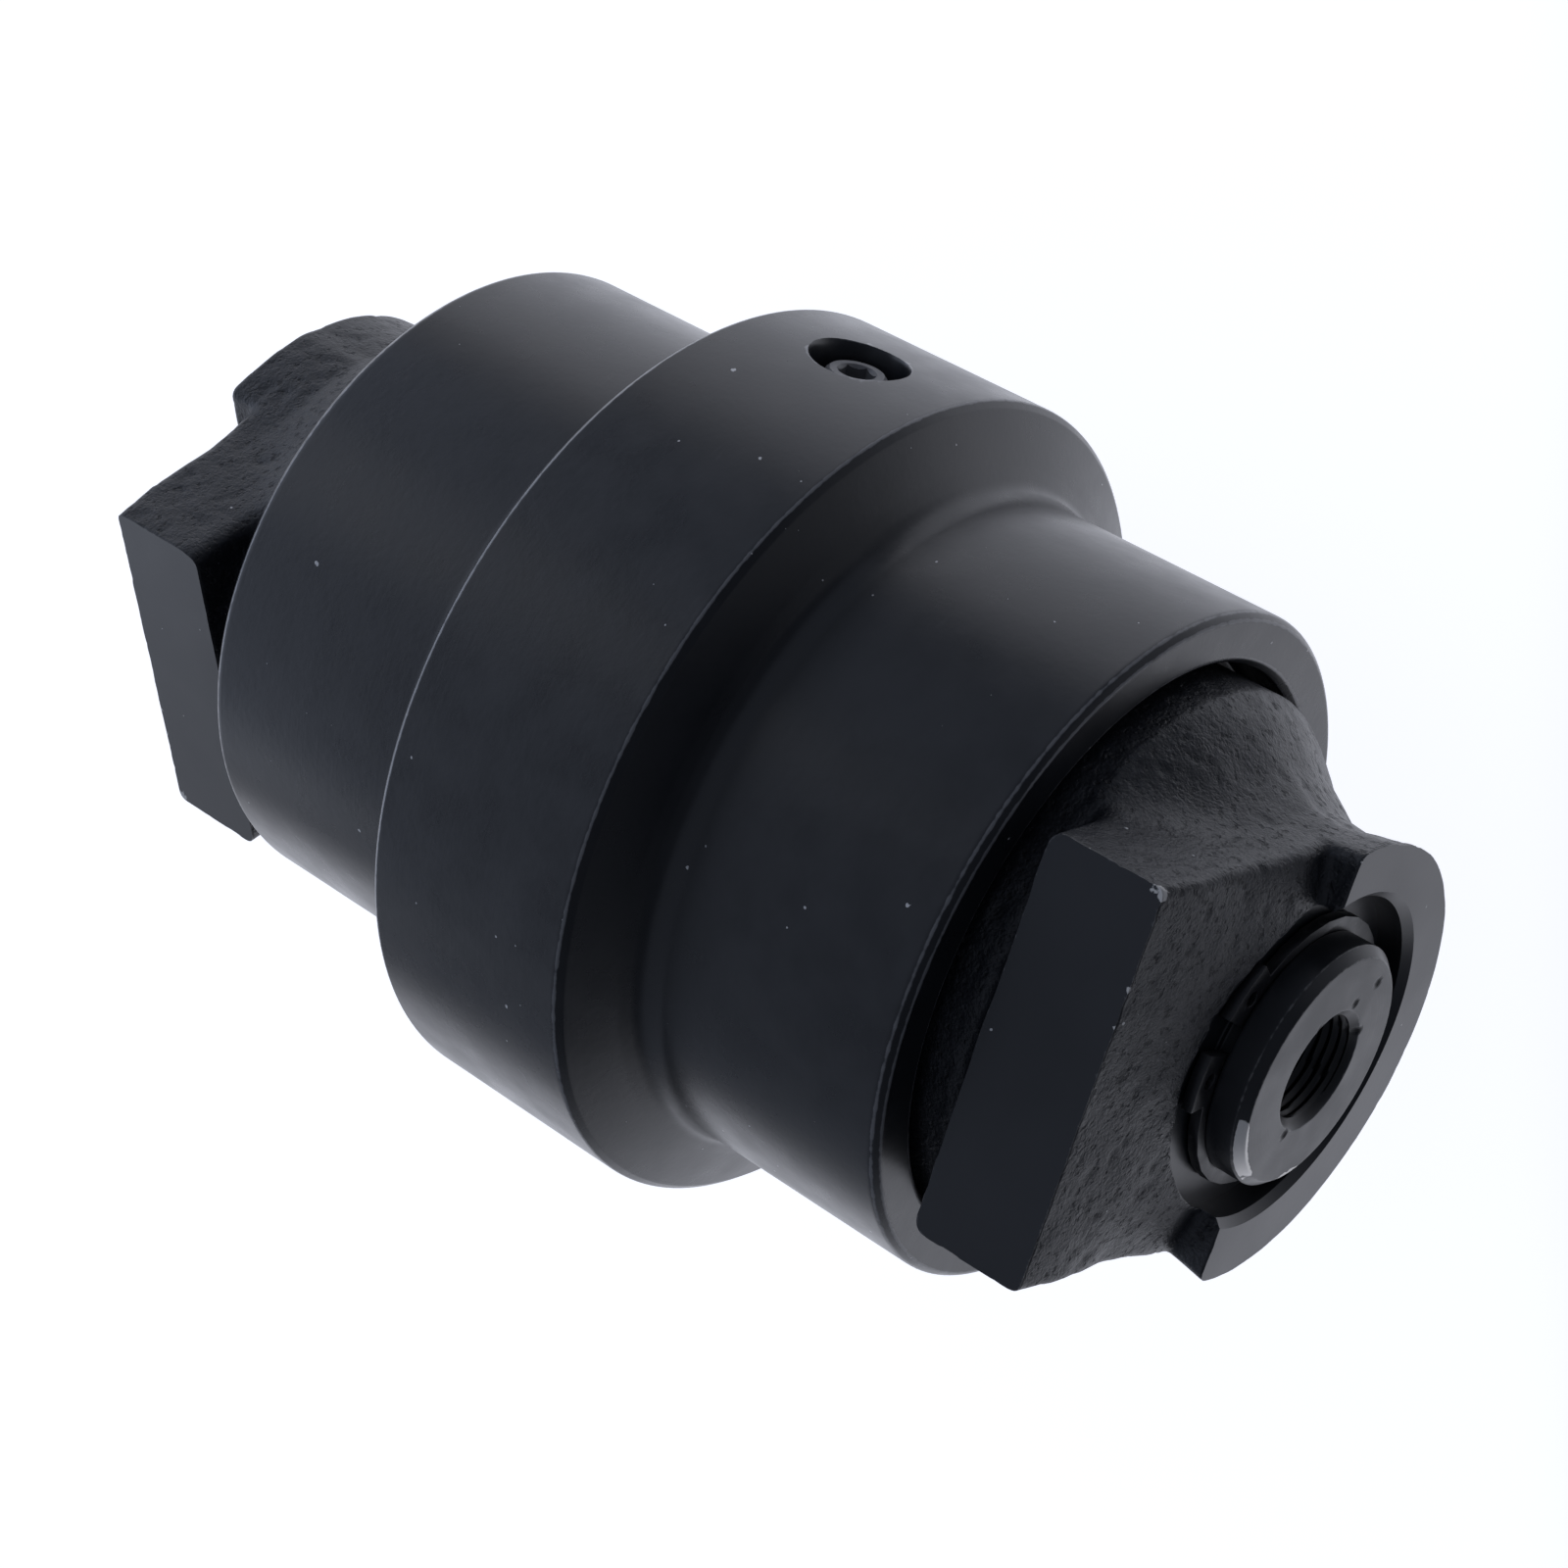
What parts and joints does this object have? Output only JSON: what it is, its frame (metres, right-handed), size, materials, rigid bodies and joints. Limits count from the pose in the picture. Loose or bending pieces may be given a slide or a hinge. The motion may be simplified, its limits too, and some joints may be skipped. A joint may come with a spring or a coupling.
{
  "type": "track roller",
  "caption": "Centre-flange track roller: flanged shell on a fixed shaft, with a cast end collar, flat mounting pad and open C-shaped rim at each end.",
  "frame": {"origin": "centre of the shaft axis at the middle of the roller, which is the centre of its box", "axes": "+Y along the shaft from the near end to the far end; +Z the outward normal of the near collar's pad, upwards as the roller hangs under a track frame"},
  "size_m": [0.132, 0.205, 0.132],
  "materials": {
    "shell_paint": "satin black paint over forged steel, worn bright on the edges",
    "cast_paint": "satin black paint over rough sand-cast iron, smooth on the machined faces",
    "shaft_steel": "thin dark paint on turned steel, chipped to bare metal on the nose chamfer",
    "spring_steel": "blackened spring steel",
    "plug_steel": "grey phosphated steel under thin paint",
    "bush_bronze": "steel-backed leaded bronze with oil pockets",
    "seal_iron": "lapped hard cast iron",
    "rubber": "moulded nitrile rubber"
  },
  "bodies": {
    "shaft_set": {"shaft": "shaft_steel", "circlip_near": "spring_steel", "shaft_o_ring_near": "rubber", "circlip_far": "spring_steel", "shaft_o_ring_far": "rubber"},
    "shell_set": {"roller_shell": "shell_paint", "oil_plug": "plug_steel", "bush_near": "bush_bronze", "thrust_washer_near": "bush_bronze", "seal_ring_rotating_near": "seal_iron", "toric_rotating_near": "rubber", "bush_far": "bush_bronze", "thrust_washer_far": "bush_bronze", "seal_ring_rotating_far": "seal_iron", "toric_rotating_far": "rubber"},
    "near_collar_set": {"collar_near": "cast_paint", "seal_ring_fixed_near": "seal_iron", "toric_fixed_near": "rubber"},
    "far_collar_set": {"collar_far": "cast_paint", "seal_ring_fixed_far": "seal_iron", "toric_fixed_far": "rubber"}
  },
  "joints": [
    {"name": "shell_spin", "type": "hinge", "parent": "shaft_set", "child": "shell_set", "pos_m": [0, 0, 0], "axis": [0, 1, 0], "continuous": true},
    {"name": "near_collar_swivel", "type": "hinge", "parent": "shaft_set", "child": "near_collar_set", "pos_m": [0, -0.08, 0], "axis": [0, 1, 0], "continuous": true},
    {"name": "far_collar_swivel", "type": "hinge", "parent": "shaft_set", "child": "far_collar_set", "pos_m": [0, 0.08, 0], "axis": [0, 1, 0], "continuous": true}
  ]
}
